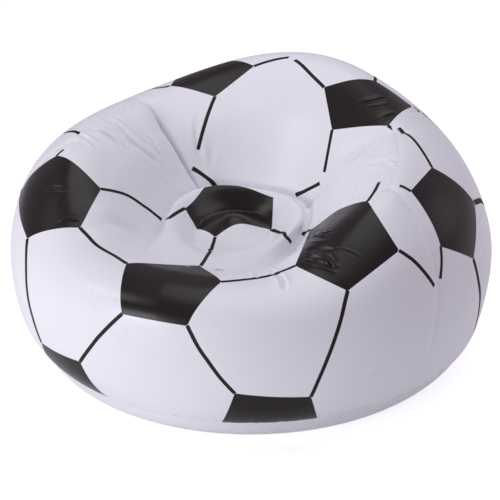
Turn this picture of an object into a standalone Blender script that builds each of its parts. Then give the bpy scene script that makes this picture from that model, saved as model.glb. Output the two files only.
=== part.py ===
"""Inflatable football chair: a ball of welded vinyl film with a seat sunk into its top.

Metres, +Z up, the sitter faces -Y. The origin is on the floor under the middle of the ball.
Every panel is a shell of film, lofted between the seams of the real pattern.
"""
import math

import bmesh
import bpy
import numpy as np
from mathutils import Matrix, Vector

# Ball
HALF_WIDTH = 0.570
CONTACT_RADIUS = 0.470
BASE_SEAM_HEIGHT = 0.050
FRONT_HEIGHT = 0.365
ARM_HEIGHT = 0.470
FLANK_HEIGHT = 0.540
BACK_HEIGHT = 0.605
BACK_LEAN = 0.020

# Seat
SEAT_HEIGHT = 0.318
SEAT_SETBACK = 0.104
SEAT_RADIUS = 0.190
SEAT_TILT_DEG = 8.0
SEAT_WELD_RADIUS = 0.087
SEAT_RING_RISE = 0.034
SEAT_DOME_RISE = 0.036

# Film, hems and seams
FILM = 0.0004
HEM = 0.004
PANEL_GAP = 0.0003
ARM_SEAM_DEG = 76.0
ARM_SEAM_FOOT_DEG = 61.0
CREASE_TOP_DEG = 112.0
CREASE_FOOT_DEG = 133.0
CREASE_DEPTH = 0.022
CREASE_WIDTH = 0.034
CREASE_CORE_DEPTH = 0.010
CREASE_CORE_WIDTH = 0.009
SEAT_SEAM_DEPTH = 0.018
SEAT_SEAM_WIDTH = 0.018
SEAT_SEAM_START_DEG = 12.0
SEAT_SEAM_FULL_DEG = 62.0
SEAM_DEPTH = 0.004
SEAM_WIDTH = 0.012
WELD_DEPTH = 0.008
WELD_WIDTH = 0.010
SEAM_FADE_DEG = 8.0
SEAM_FADE_share = 0.4

# Tie between seat and base
TIE_FOOT_RADIUS = 0.100
TIE_HOLE_RADIUS = 0.022
TIE_HOLE_HEIGHT = 0.110
TIE_HOLES = 4

# Valve
FLANGE_RADIUS = 0.021
FLANGE_MARGIN = 0.002
FLANGE_THICKNESS = 0.0012
STEM_RADIUS = 0.0070
STEM_BORE_RADIUS = 0.0045
STEM_LIP_RADIUS = 0.0095
STEM_LIP = 0.0015
STEM_COLLAR = 0.0015
STEM_TRAVEL = 0.018
STEM_STOP = 0.0008
PLUG_RADIUS = 0.0042
PLUG_DEPTH = 0.0080
PLUG_TIP = 0.0012
CAP_RADIUS = 0.0085
CAP_THICKNESS = 0.0018
FLAP_THICKNESS = 0.0006
STRAP_WIDTH = 0.0040
STRAP_THICKNESS = 0.0009
STRAP_REACH = 0.0030
RUN_GAP = 0.0003

# Fineness of the lofts
FRONT_COLUMNS = 11
ARM_COLUMNS = 6
BACK_COLUMNS = 10
VALVE_QUARTER_STEPS = 7
STRAP_STEPS = 8
ROW_CROWDING_share = 0.06
OUTER_ROWS = 15
VALVE_ROW = 5
VALVE_COLUMN = 6
INNER_ROWS = 8
TIE_ROWS = 6

# Stations up the skin, from the middle of the base to the middle of the seat
FLOOR, CONTACT, SEAM, LOW, EQUATOR, SHOULDER, BROW, CREST, WALL, RIM, RING, WELD, DOME = range(13)

# Each ring's size at azimuth 0 (front), 60, 120 and 180 degrees (back), as shares
AZIMUTH_DEG_shares = (0, 60, 120, 180)
SEAM_radius_shares = (0.90, 0.91, 0.92, 0.85)
EQUATOR_radius_shares = (0.98, 0.99, 0.99, 0.98)
EQUATOR_height_shares = (0.65, 0.58, 0.52, 0.50)
CREST_radius_shares = (0.70, 0.70, 0.60, 0.65)
WALL_radius_shares = (0.40, 0.45, 0.55, 0.60)
WALL_height_shares = (0.70, 0.70, 0.65, 0.65)
RIM_radius_shares = (1.45, 1.00, 0.85, 0.85)
RIM_rise_shares = (2.25, 1.25, 0.25, 0.10)
RING_radius_shares = (0.50, 0.70, 0.80, 0.70)

# The outer skin's section is one arc from the widest ring down to the base seam and one up to
# the crest. A turn is a share of the arc, from the widest ring; a fullness of 1 is an ellipse.
LOW_turn_share = 0.45
SHOULDER_turn_share = 0.45
BROW_turn_share = 0.75
LOW_fullness_share = 1.0
FULLNESS_shares = (1.15, 0.90, 0.85, 0.75)
SETBACK_shares = {SHOULDER: 0.15, BROW: 0.24, CREST: 0.38, WALL: 0.90, RIM: 1.05}
CREASE_depth_shares = (0.45, 1.0, 0.70)


def around(values, azimuth):
    """Even cosine series through four values at 0, 60, 120 and 180 degrees."""
    basis = [[math.cos(n * math.radians(a)) for n in range(4)] for a in AZIMUTH_DEG_shares]
    terms = np.linalg.solve(np.array(basis), np.array(values, dtype=float))
    return sum(terms[n] * np.cos(n * azimuth) for n in range(4))


def seat_plane(y):
    return SEAT_HEIGHT + math.tan(math.radians(SEAT_TILT_DEG)) * (y + SEAT_SETBACK)


def knots(azimuth):
    """Points of every station at these azimuths, as an array (stations, n, 3)."""
    across, ahead = np.sin(azimuth), -np.cos(azimuth)
    crest = around((FRONT_HEIGHT, ARM_HEIGHT, FLANK_HEIGHT, BACK_HEIGHT), azimuth)
    # the back stands a little higher on one side than on the other
    crest = crest + BACK_LEAN * across * np.maximum(ahead, 0.0)

    def ring(radius, height, share=0.0):
        return np.stack([radius * across, radius * ahead - share * SEAT_SETBACK,
                         height + 0 * azimuth], -1)

    seam_radius = HALF_WIDTH * around(SEAM_radius_shares, azimuth)
    wide_radius = HALF_WIDTH * around(EQUATOR_radius_shares, azimuth)
    wide_height = crest * around(EQUATOR_height_shares, azimuth)
    crest_radius = HALF_WIDTH * around(CREST_radius_shares, azimuth)

    def on_arc(turn_share, fullness, end_radius, end_height, setback_share=0.0):
        turn, power = math.pi / 2 * turn_share, 1 / fullness
        return ring(end_radius + (wide_radius - end_radius) * math.cos(turn) ** power,
                    wide_height + (end_height - wide_height) * math.sin(turn) ** power, setback_share)

    fullness = around(FULLNESS_shares, azimuth)
    rows = [ring(0 * azimuth, 0 * azimuth), ring(CONTACT_RADIUS + 0 * azimuth, 0 * azimuth),
            ring(seam_radius, BASE_SEAM_HEIGHT + 0 * azimuth),
            on_arc(LOW_turn_share, LOW_fullness_share, seam_radius, BASE_SEAM_HEIGHT),
            ring(wide_radius, wide_height),
            on_arc(SHOULDER_turn_share, fullness, crest_radius, crest, SETBACK_shares[SHOULDER]),
            on_arc(BROW_turn_share, fullness, crest_radius, crest, SETBACK_shares[BROW]),
            ring(crest_radius, crest, SETBACK_shares[CREST])]
    rim_radius = SEAT_RADIUS * around(RIM_radius_shares, azimuth)
    rim = ring(rim_radius, 0 * azimuth, SETBACK_shares[RIM])
    rim[:, 2] = seat_plane(rim[:, 1]) + SEAT_RING_RISE * around(RIM_rise_shares, azimuth)
    part_r, part_z = around(WALL_radius_shares, azimuth), around(WALL_height_shares, azimuth)
    rows.append(ring(rim_radius + part_r * (crest_radius - rim_radius),
                     rim[:, 2] + part_z * (crest - rim[:, 2]), SETBACK_shares[WALL]))
    rows.append(rim)
    for radius, rise in ((rim_radius * around(RING_radius_shares, azimuth), SEAT_RING_RISE),
                         (SEAT_WELD_RADIUS + 0 * azimuth, 0.0), (0 * azimuth, SEAT_DOME_RISE)):
        row = ring(radius, 0 * azimuth, 1.0)
        row[:, 2] = seat_plane(row[:, 1]) + rise
        rows.append(row)
    return np.array(rows)


def smooth_skin(azimuth, station):
    """The inflated skin without its seams: a spline up the stations, spaced by their chords."""
    azimuth, station = np.atleast_1d(azimuth).astype(float), np.atleast_1d(station).astype(float)
    points = knots(azimuth)
    last = len(points) - 1
    step = np.clip(np.floor(station + 1e-9).astype(int), 0, last - 1)
    part = (station - step)[:, None]
    pick = np.arange(len(azimuth))
    p1, p2 = points[step, pick], points[step + 1, pick]
    p0 = np.where((step == 0)[:, None], 2 * p1 - p2, points[np.maximum(step - 1, 0), pick])
    top = (step + 2 > last)[:, None]
    # past the middle of the seat the spline goes on over the far side, so the dome is level there
    mirror = points[WELD, pick] * np.array([-1.0, -1.0, 1.0])
    mirror[:, 1] -= 2 * SEAT_SETBACK
    p3 = np.where(top, mirror, points[np.minimum(step + 2, last), pick])

    def chord(a, b):
        return np.sqrt(np.linalg.norm(b - a, axis=-1, keepdims=True) + 1e-9)
    h0, h1, h2 = chord(p0, p1), chord(p1, p2), chord(p2, p3)
    m1 = ((p1 - p0) / h0 * h1 + (p2 - p1) / h1 * h0) / (h0 + h1) * h1
    m2 = ((p2 - p1) / h1 * h2 + (p3 - p2) / h2 * h1) / (h1 + h2) * h1
    # the base is flat up to its contact circle and turns up there
    flat = (step == FLOOR)[:, None]
    m1, m2 = np.where(flat, p2 - p1, m1), np.where(flat, p2 - p1, m2)
    a, b = part * part, part * part * part
    return (2 * b - 3 * a + 1) * p1 + (b - 2 * a + part) * m1 + (3 * a - 2 * b) * p2 + (b - a) * m2


def arm_seam(station):
    """Azimuth of the seam that comes down the outside of each arm."""
    part = np.clip((CREST - station) / (CREST - SEAM), 0, 1)
    return np.radians(ARM_SEAM_DEG + (ARM_SEAM_FOOT_DEG - ARM_SEAM_DEG) * part)


def crease(station):
    """Azimuth of the crease between each arm and the backrest."""
    part = np.clip((station - CREST) / (RIM - CREST), 0, 1)
    return np.radians(CREASE_TOP_DEG + (CREASE_FOOT_DEG - CREASE_TOP_DEG) * part)


def half_columns():
    """Azimuths along the crest that every panel shares, from the front round to the back."""
    return np.radians(np.concatenate([
        np.linspace(0, ARM_SEAM_DEG, FRONT_COLUMNS + 1),
        np.linspace(ARM_SEAM_DEG, CREASE_TOP_DEG, ARM_COLUMNS + 1)[1:],
        np.linspace(CREASE_TOP_DEG, 180, BACK_COLUMNS + 1)[1:]]))


def spread(column, station):
    """Azimuth of a column at a station: columns follow the seams, so seams meet point to point."""
    turn, side = np.abs(column), np.sign(column)
    below = np.interp(turn, [0, math.radians(ARM_SEAM_DEG), math.pi], [0, 1, 2])
    above = np.interp(turn, [0, math.radians(CREASE_TOP_DEG), math.pi], [0, 1, 2])

    def place(share, seam):
        return np.where(share <= 1, share * seam, seam + (share - 1) * (math.pi - seam))
    return side * np.where(station <= CREST, place(below, arm_seam(station)),
                           place(above, crease(station)))


def frame_at(azimuth, station):
    """Point, unit tangents up and around, and outward normal of the smooth skin."""
    d = 1e-3
    point = smooth_skin(azimuth, station)
    up = smooth_skin(azimuth, np.minimum(station + d, DOME)) - smooth_skin(azimuth, station - d)
    side = smooth_skin(azimuth + d, station) - smooth_skin(azimuth - d, station)
    size_up, size_side = np.linalg.norm(up, axis=-1), np.linalg.norm(side, axis=-1)
    up, side = up / size_up[:, None], side / np.maximum(size_side, 1e-12)[:, None]
    normal = np.cross(side, up)
    normal /= np.maximum(np.linalg.norm(normal, axis=-1), 1e-12)[:, None]
    return point, up, side, normal, size_up / (2 * d), size_side / (2 * d)


def seam_pull(azimuth, station, speed_up, speed_side):
    """How far the welds hold the skin in, at these places."""
    turn = np.abs((azimuth + math.pi) % (2 * math.pi) - math.pi)

    def dent(distance, depth, width):
        return depth * np.exp(-distance / width)

    def fade(value, start, end):
        part = np.clip((value - start) / (end - start), 0, 1)
        return part * part * (3 - 2 * part)
    pull = dent(np.abs(station - SEAM) * speed_up, SEAM_DEPTH, SEAM_WIDTH)
    pull += dent(np.abs(station - WELD) * speed_up, WELD_DEPTH, WELD_WIDTH)
    pull += dent(np.abs(station - CREST) * speed_up, SEAM_DEPTH, SEAM_WIDTH) * fade(
        turn, math.radians(ARM_SEAM_DEG) - math.radians(SEAM_FADE_DEG), math.radians(ARM_SEAM_DEG))
    pull += dent(np.abs(station - RIM) * speed_up, SEAT_SEAM_DEPTH, SEAT_SEAM_WIDTH) * fade(
        turn, math.radians(SEAT_SEAM_START_DEG), math.radians(SEAT_SEAM_FULL_DEG))
    outside = fade(station, CONTACT, SEAM) * (1 - fade(station, CREST, CREST + SEAM_FADE_share))
    pull += outside * dent(np.abs(turn - arm_seam(station)) * speed_side,
                           SEAM_DEPTH, SEAM_WIDTH)
    along = np.clip((station - CREST) / (RIM - CREST), 0, 1)
    inside = fade(station, BROW, CREST) * (1 - fade(station, RIM, RING))
    inside *= np.interp(along, (0, 0.5, 1), CREASE_depth_shares)
    away = np.abs(turn - crease(station)) * speed_side
    pull += inside * (dent(away, CREASE_DEPTH, CREASE_WIDTH)
                      + dent(away, CREASE_CORE_DEPTH, CREASE_CORE_WIDTH))
    return pull


def skin(azimuth, station):
    """The skin with its seams, and the frame of tangents and normal that goes with it."""
    azimuth, station = np.atleast_1d(azimuth).astype(float), np.atleast_1d(station).astype(float)
    point, up, side, normal, speed_up, speed_side = frame_at(azimuth, station)
    pull = seam_pull(azimuth, station, speed_up, speed_side)
    return point - normal * pull[:, None], up, side, normal


def rows_between(first, last, count):
    """Stations from one seam to the next, closer together beside the seams."""
    part = np.linspace(0, 1, count + 1)
    return first + (last - first) * (part - ROW_CROWDING_share * np.sin(2 * math.pi * part))


def valve_frame():
    """Middle and outward direction of the patch of rear panel that the valve is welded into."""
    column = half_columns()[FRONT_COLUMNS + ARM_COLUMNS + VALVE_COLUMN:][[0, 1, 1, 0]]
    station = rows_between(SEAM, CREST, OUTER_ROWS)[VALVE_ROW:][[0, 0, 1, 1]]
    corners = skin(spread(column, station), station)[0]
    axis = Vector((corners[1] - corners[3]).tolist()).cross(Vector((corners[2] - corners[0]).tolist()))
    return Vector(corners.mean(axis=0).tolist()), axis.normalized()


def start():
    for item in list(bpy.data.objects):
        bpy.data.objects.remove(item, do_unlink=True)


def material(name, colour, roughness, metallic=0.0):
    made = bpy.data.materials.new(name)
    made.use_nodes = True
    shader = made.node_tree.nodes["Principled BSDF"]
    shader.inputs["Base Color"].default_value = (*colour, 1.0)
    shader.inputs["Roughness"].default_value = roughness
    shader.inputs["Metallic"].default_value = metallic
    return made


def empty(name, parent=None, matrix=None):
    made = bpy.data.objects.new(name, None)
    bpy.context.scene.collection.objects.link(made)
    made.parent = parent
    if matrix is not None:
        made.matrix_local = matrix
    return made


def piece(name, mesh_edit, look, parent):
    mesh = bpy.data.meshes.new(name)
    mesh_edit.to_mesh(mesh)
    mesh_edit.free()
    mesh.materials.append(look)
    made = bpy.data.objects.new(name, mesh)
    bpy.context.scene.collection.objects.link(made)
    made.parent = parent
    mesh.shade_smooth()
    mesh.set_sharp_from_angle(angle=math.radians(50))
    return made


def film(made, thickness=FILM):
    """Gives a sheet the film's thickness, on its inner side."""
    wall = made.modifiers.new("film", "SOLIDIFY")
    wall.thickness = thickness
    wall.offset = -1.0
    wall.use_even_offset = True
    return made


def hem_edges(work, normals, depth=HEM):
    """Turns every open edge inward by the width of its weld hem."""
    rim = [e for e in work.edges if e.is_boundary]
    source = {v.index: v for e in rim for v in e.verts}
    made = bmesh.ops.extrude_edge_only(work, edges=rim)
    fresh = [g for g in made["geom"] if isinstance(g, bmesh.types.BMVert)]
    place = {tuple(round(c, 6) for c in v.co): i for i, v in source.items()}
    for v in fresh:
        n = normals[place[tuple(round(c, 6) for c in v.co)]]
        v.co -= Vector(n) * depth


def lay(work, column, station, push_up, push_side):
    """Places the vertices on the skin; push_* moves those on a seam half a gap off it."""
    point, up, side, normal = skin(spread(column, station), station)
    point = point + (up * push_up[:, None] + side * push_side[:, None]) * (PANEL_GAP / 2)
    for v, p in zip(work.verts, point):
        v.co = p.tolist()
    return normal


def sheet(columns, rows):
    """A flat unit grid with its vertices sorted row by row."""
    work = bmesh.new()
    bmesh.ops.create_grid(work, x_segments=columns, y_segments=rows, size=0.5)
    work.verts.sort(key=lambda v: round((v.co.y + 0.5) * rows) * (columns + 1)
                    + round((v.co.x + 0.5) * columns))
    work.verts.index_update()
    work.verts.ensure_lookup_table()
    return work


def front_panel(look, parent):
    """Front roll, both arm fronts and both arms' inner walls, in one panel."""
    rows = np.concatenate([rows_between(SEAM, CREST, OUTER_ROWS),
                           rows_between(CREST, RIM, INNER_ROWS)[1:]])
    half = half_columns()[:FRONT_COLUMNS + ARM_COLUMNS + 1]
    columns = np.concatenate([-half[:0:-1], half])
    last = len(columns) - 1
    work = sheet(last, len(rows) - 1)
    # below the arms' crest the panel ends at the seam that comes down each arm
    left, right = ARM_COLUMNS, last - ARM_COLUMNS
    gone = []
    for face in work.faces:
        row = min(v.index for v in face.verts) // len(columns)
        spots = [v.index % len(columns) for v in face.verts]
        if row < OUTER_ROWS and (max(spots) <= left or min(spots) >= right):
            gone.append(face)
    row = np.repeat(np.arange(len(rows)), len(columns))
    col = np.tile(np.arange(len(columns)), len(rows))
    level = row == OUTER_ROWS
    push_up = (row == 0) * 1.0 - (row == len(rows) - 1) * 1.0
    push_up += (level & ((col <= left) | (col >= right))) * 1.0
    lower = (row <= OUTER_ROWS) * ((col == left) * 1.0 - (col == right) * 1.0)
    upper = (row >= OUTER_ROWS) * ((col == 0) * 1.0 - (col == last) * 1.0)
    normal = lay(work, columns[col], rows[row], push_up, lower + upper)
    bmesh.ops.delete(work, geom=gone, context="FACES")
    keep = ~((row < OUTER_ROWS) & ((col < left) | (col > right)))
    work.verts.index_update()
    hem_edges(work, normal[keep])
    return film(piece("front_panel", work, look, parent))


def strip_between(name, first, last, count, start_column, look, parent, with_valve=False):
    """A panel that runs round the back from one side's seam to the other's."""
    rows = rows_between(first, last, count)
    half = half_columns()[start_column:]
    columns = np.concatenate([half, -half[-2::-1]])
    work = sheet(len(columns) - 1, count)
    row = np.repeat(np.arange(len(rows)), len(columns))
    col = np.tile(np.arange(len(columns)), len(rows))
    push_up = (row == 0) * 1.0 - (row == count) * 1.0
    push_side = (col == 0) * 1.0 - (col == len(columns) - 1) * 1.0
    normal = lay(work, columns[col], rows[row], push_up, push_side)
    hem_edges(work, normal)
    if with_valve:
        valve_seat(work)
    return film(piece(name, work, look, parent))


def valve_seat(work):
    """A flat round patch for the valve's flange, with the hole that its stem comes through."""
    centre, axis = valve_frame()
    frame = valve_matrix()
    face = min(work.faces, key=lambda f: (f.calc_center_median() - centre).length)
    bmesh.ops.inset_individual(work, faces=[face], thickness=FLANGE_MARGIN)
    bmesh.ops.subdivide_edges(work, edges=list(face.edges), cuts=VALVE_QUARTER_STEPS - 1)
    face = min(work.faces, key=lambda f: (f.calc_center_median() - centre).length)
    ring_on(face, frame, FLANGE_RADIUS + FLANGE_MARGIN)
    bmesh.ops.inset_individual(work, faces=[face], thickness=FLANGE_MARGIN)
    ring_on(face, frame, hole_radius())
    bmesh.ops.delete(work, geom=[face], context="FACES")


def ring_on(face, frame, radius):
    """Moves a face's corners onto a circle round the valve's axis."""
    loop = list(face.verts)
    first = frame.inverted() @ loop[0].co
    begin = math.atan2(first.y, first.x)
    second = frame.inverted() @ loop[1].co
    way = 1 if (first.x * second.y - first.y * second.x) > 0 else -1
    for k, v in enumerate(loop):
        turn = begin + way * 2 * math.pi * k / len(loop)
        v.co = frame @ Vector((radius * math.cos(turn), radius * math.sin(turn), 0))


def rear_panel(look, parent):
    """Outer back and both flanks, from one arm seam round to the other."""
    return strip_between("rear_panel", SEAM, CREST, OUTER_ROWS, FRONT_COLUMNS, look, parent, True)


def backrest_panel(look, parent):
    """Inner face of the back, between the two creases."""
    return strip_between("backrest_panel", CREST, RIM, INNER_ROWS, FRONT_COLUMNS + ARM_COLUMNS,
                         look, parent)


def turned(radii, steps):
    """Rings spun about Z with a closed middle; returns the mesh and each vertex's ring."""
    work = bmesh.new()
    line = [work.verts.new((r, 0, 0)) for r in radii]
    edges = [work.edges.new(pair) for pair in zip(line, line[1:])]
    bmesh.ops.spin(work, geom=line + edges, cent=(0, 0, 0), axis=(0, 0, 1),
                   angle=2 * math.pi, steps=steps, use_merge=True)
    bmesh.ops.remove_doubles(work, verts=work.verts, dist=FILM / 10)
    return work


def round_columns():
    half = half_columns()
    return np.concatenate([half, -half[-2:0:-1]])


def round_panel(name, stations, inner_up, look, parent):
    """A round panel laid on the skin between its middle and its seam."""
    columns = round_columns()
    work = turned([float(i) for i in range(len(stations))], len(columns))
    work.verts.index_update()
    number = np.array([round(math.hypot(v.co.x, v.co.y)) for v in work.verts])
    turn = np.array([math.atan2(v.co.y, v.co.x) for v in work.verts])
    which = np.round(turn / (2 * math.pi) * len(columns)).astype(int) % len(columns)
    push_up = np.where(number == len(stations) - 1, inner_up, 0.0)
    normal = lay(work, columns[which], np.array(stations)[number], push_up, 0 * push_up)
    bmesh.ops.recalc_face_normals(work, faces=work.faces)
    upward = sum(f.normal.z * f.calc_area() for f in work.faces)
    if (upward > 0) != (inner_up > 0):
        bmesh.ops.reverse_faces(work, faces=work.faces)
    hem_edges(work, normal)
    return film(piece(name, work, look, parent))


def seat_panel(look, parent):
    stations = np.concatenate([np.linspace(DOME, WELD, 4), np.linspace(WELD, RING, 3)[1:],
                               np.linspace(RING, RIM, 4)[1:]])
    return round_panel("seat_panel", stations, 1.0, look, parent)


def base_panel(look, parent):
    stations = np.array([FLOOR, CONTACT, CONTACT + 0.35, CONTACT + 0.7, SEAM])
    return round_panel("base_panel", stations, -1.0, look, parent)


def seat_tie(look, parent):
    """The sleeve inside that holds the seat's round weld down to the base."""
    station = np.full(len(round_columns()), float(WELD))
    turn = spread(round_columns(), station)
    steps = len(turn)
    point, up, side, normal = skin(turn, station)
    top = point - normal * (FILM + RUN_GAP)
    ahead = np.stack([np.sin(turn), -np.cos(turn)], -1)
    foot = np.concatenate([ahead * TIE_FOOT_RADIUS, np.zeros((steps, 1))], 1)
    foot[:, 1] -= SEAT_SETBACK
    foot[:, 2] = FILM + RUN_GAP
    work = bmesh.new()
    bmesh.ops.create_cone(work, segments=steps, radius1=1.0, radius2=1.0, depth=1.0,
                          cap_ends=False)
    bmesh.ops.subdivide_edges(work, edges=[e for e in work.edges
                                           if abs(e.verts[0].co.z - e.verts[1].co.z) > 0.5],
                              cuts=TIE_ROWS - 1)
    for v in work.verts:
        share = v.co.z + 0.5
        which = round(math.atan2(-v.co.x, v.co.y) / (2 * math.pi) * steps) % steps
        v.co = (foot[which] + (top[which] - foot[which]) * share).tolist()
    bmesh.ops.recalc_face_normals(work, faces=work.faces)
    made = film(piece("seat_tie", work, look, parent))
    # holes let the air pass between the middle and the rest of the ball
    for k in range(TIE_HOLES // 2):
        turn_z = Matrix.Rotation(math.pi * (k + 0.5) * 2 / TIE_HOLES, 4, "Z")
        cut = bmesh.new()
        bmesh.ops.create_cone(cut, cap_ends=True, radius1=TIE_HOLE_RADIUS,
                              radius2=TIE_HOLE_RADIUS, depth=3 * TIE_FOOT_RADIUS,
                              segments=4 * VALVE_QUARTER_STEPS,
                              matrix=Matrix.Translation((0, -SEAT_SETBACK, TIE_HOLE_HEIGHT))
                              @ turn_z @ Matrix.Rotation(math.pi / 2, 4, "Y"))
        tool = piece(f"tie_hole_cutter_{k}", cut, look, parent)
        tool.hide_render = True
        tool.display_type = "WIRE"
        hole = made.modifiers.new(f"air hole {k}", "BOOLEAN")
        hole.operation = "DIFFERENCE"
        hole.object = tool
    return made


def valve_matrix():
    """The valve's own frame: its origin on the film, its Z along the way the stem comes out."""
    centre, axis = valve_frame()
    turn = axis.to_track_quat("Z", "Y").to_matrix().to_4x4()
    return Matrix.Translation(centre) @ turn


def hole_radius():
    return STEM_RADIUS + RUN_GAP + FLANGE_THICKNESS + RUN_GAP


def lathe(profile, steps=4 * VALVE_QUARTER_STEPS):
    """A closed profile of (radius, height) turned about Z."""
    work = bmesh.new()
    ring = [work.verts.new((r, 0, z)) for r, z in profile]
    edges = [work.edges.new((a, b)) for a, b in zip(ring, ring[1:] + ring[:1])]
    bmesh.ops.spin(work, geom=ring + edges, cent=(0, 0, 0), axis=(0, 0, 1),
                   angle=2 * math.pi, steps=steps, use_merge=True)
    bmesh.ops.remove_doubles(work, verts=work.verts, dist=RUN_GAP / 100)
    for e in [e for e in work.edges if not e.link_faces]:
        work.edges.remove(e)
    bmesh.ops.recalc_face_normals(work, faces=work.faces)
    return work


def valve(vinyl, parent):
    """Flange welded in the rear panel, and the stem, flap, plug and strap that it carries."""
    frame = valve_matrix()
    seat = empty("valve_axis", parent, frame)
    bore = STEM_RADIUS + RUN_GAP
    outside = bore + FLANGE_THICKNESS
    back = -FILM - RUN_GAP
    # the flange lies behind the film; its short neck fills the hole to the film's face
    flange = lathe([(bore, back - FLANGE_THICKNESS), (FLANGE_RADIUS, back - FLANGE_THICKNESS),
                    (FLANGE_RADIUS, back), (outside, back), (outside, 0.0), (bore, 0.0)])
    piece("valve_flange", flange, vinyl, seat)
    # stem, pushed in at rest, so only its lip and plug stand out
    stem_axis = empty("valve_stem_axis", seat)
    top = RUN_GAP + STEM_LIP
    # its collar stops this far behind the flange when the stem is pulled out
    inner = back - FLANGE_THICKNESS - STEM_STOP - STEM_TRAVEL - STEM_COLLAR
    stem = lathe([(STEM_BORE_RADIUS, inner), (STEM_RADIUS + STEM_COLLAR, inner),
                  (STEM_RADIUS + STEM_COLLAR, inner + STEM_COLLAR),
                  (STEM_RADIUS, inner + STEM_COLLAR), (STEM_RADIUS, RUN_GAP),
                  (STEM_LIP_RADIUS, RUN_GAP), (STEM_LIP_RADIUS, top), (STEM_BORE_RADIUS, top)])
    piece("valve_stem", stem, vinyl, stem_axis)
    # flap that the air inside holds shut against the stem's inner end
    flap_axis = empty("valve_flap_axis", stem_axis,
                      Matrix.Translation((0, STEM_RADIUS + STEM_COLLAR, inner - RUN_GAP)))
    flap = bmesh.new()
    bmesh.ops.create_cone(flap, cap_ends=True, segments=4 * VALVE_QUARTER_STEPS,
                          radius1=STEM_RADIUS,
                          radius2=STEM_RADIUS, depth=FLAP_THICKNESS,
                          matrix=Matrix.Translation((0, -STEM_RADIUS - STEM_COLLAR,
                                                     -FLAP_THICKNESS / 2)))
    piece("valve_flap", flap, vinyl, flap_axis)
    # plug, with a tapered tip and a round cap
    plug_axis = empty("valve_plug_axis", stem_axis, Matrix.Translation((0, 0, top + RUN_GAP)))
    plug = lathe([(0, -PLUG_DEPTH), (PLUG_RADIUS - PLUG_TIP, -PLUG_DEPTH),
                  (PLUG_RADIUS, -PLUG_DEPTH + PLUG_TIP), (PLUG_RADIUS, 0), (CAP_RADIUS, 0),
                  (CAP_RADIUS, CAP_THICKNESS - CAP_THICKNESS / 3),
                  (CAP_RADIUS - CAP_THICKNESS / 3, CAP_THICKNESS), (0, CAP_THICKNESS)])
    piece("valve_plug", plug, vinyl, plug_axis)
    # strap from the stem's lip round to the cap's edge
    strap = strap_mesh(top)
    piece("valve_strap", strap, vinyl, stem_axis)


def strap_mesh(top):
    """A bent strip: foot on the lip's edge, loop, and an end beside the cap."""
    start_r = STEM_LIP_RADIUS + RUN_GAP
    end_r = CAP_RADIUS + RUN_GAP
    middle = top + RUN_GAP + CAP_THICKNESS / 2
    low = RUN_GAP + STEM_LIP / 2
    path = []
    for k in range(STRAP_STEPS + 1):
        turn = math.pi * (k / STRAP_STEPS - 0.5)
        path.append((max(start_r, end_r) + STRAP_REACH * math.cos(turn),
                     (low + middle) / 2 + (middle - low) / 2 * math.sin(turn)))
    path = [(start_r, low)] + path + [(end_r, middle)]
    work = bmesh.new()
    left, right = [], []
    for k, (r, z) in enumerate(path):
        a, b = path[max(k - 1, 0)], path[min(k + 1, len(path) - 1)]
        run = Vector((b[0] - a[0], b[1] - a[1])).normalized()
        out = Vector((run.y, -run.x)) * (STRAP_THICKNESS / 2)
        left.append((r + out.x, z + out.y))
        right.append((r - out.x, z - out.y))
    outline = left + right[::-1]
    loop = [work.verts.new((r, -STRAP_WIDTH / 2, z)) for r, z in outline]
    face = work.faces.new(loop)
    made = bmesh.ops.extrude_face_region(work, geom=[face])
    moved = [g for g in made["geom"] if isinstance(g, bmesh.types.BMVert)]
    bmesh.ops.translate(work, verts=moved, vec=(0, STRAP_WIDTH, 0))
    bmesh.ops.recalc_face_normals(work, faces=work.faces)
    return work


def build():
    start()
    root = empty("football_chair")
    white = material("white_vinyl", (0.80, 0.80, 0.85), 0.32)
    inner = material("tie_vinyl", (0.80, 0.80, 0.82), 0.40)
    clear = material("valve_vinyl", (0.72, 0.72, 0.74), 0.35)
    base_panel(white, root)
    front_panel(white, root)
    rear_panel(white, root)
    backrest_panel(white, root)
    seat_panel(white, root)
    seat_tie(inner, root)
    valve(clear, root)


build()
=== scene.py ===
"""Inflatable football chair: a ball of welded vinyl film with a seat hollow, dressed on its CAD frame."""
import math

import bmesh
import bpy
import numpy as np
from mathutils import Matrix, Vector


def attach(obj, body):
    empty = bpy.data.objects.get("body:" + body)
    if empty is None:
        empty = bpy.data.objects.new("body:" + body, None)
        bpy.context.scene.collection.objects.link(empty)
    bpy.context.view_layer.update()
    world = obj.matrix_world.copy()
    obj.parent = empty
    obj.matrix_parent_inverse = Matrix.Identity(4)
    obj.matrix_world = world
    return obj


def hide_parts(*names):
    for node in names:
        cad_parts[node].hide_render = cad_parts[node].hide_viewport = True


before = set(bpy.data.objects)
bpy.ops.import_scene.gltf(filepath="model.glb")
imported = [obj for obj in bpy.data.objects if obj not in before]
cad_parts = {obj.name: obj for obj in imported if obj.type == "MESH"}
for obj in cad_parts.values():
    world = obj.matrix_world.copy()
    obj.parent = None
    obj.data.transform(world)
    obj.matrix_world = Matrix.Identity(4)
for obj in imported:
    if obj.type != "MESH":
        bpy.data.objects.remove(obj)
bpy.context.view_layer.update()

# The camera stands as the photographer's did: a long lens, above the seat and a little to the
# sitter's left. The view's middle is off the chair's middle, so its place comes from both.
AZIMUTH, ELEVATION = math.radians(21.6), math.radians(25.8)
DISTANCE, IMAGE_SIDE, PIXELS_PER_METRE = 3.82, 500, 408.5
ORIGIN_PIXEL = (250.3, 330.2)
SENSOR = 36.0
back = Vector((math.sin(AZIMUTH) * math.cos(ELEVATION), -math.cos(AZIMUTH) * math.cos(ELEVATION),
               math.sin(ELEVATION)))
right = Vector((math.cos(AZIMUTH), math.sin(AZIMUTH), 0))
above = back.cross(right)
camera_data = bpy.data.cameras.new("camera")
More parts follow.
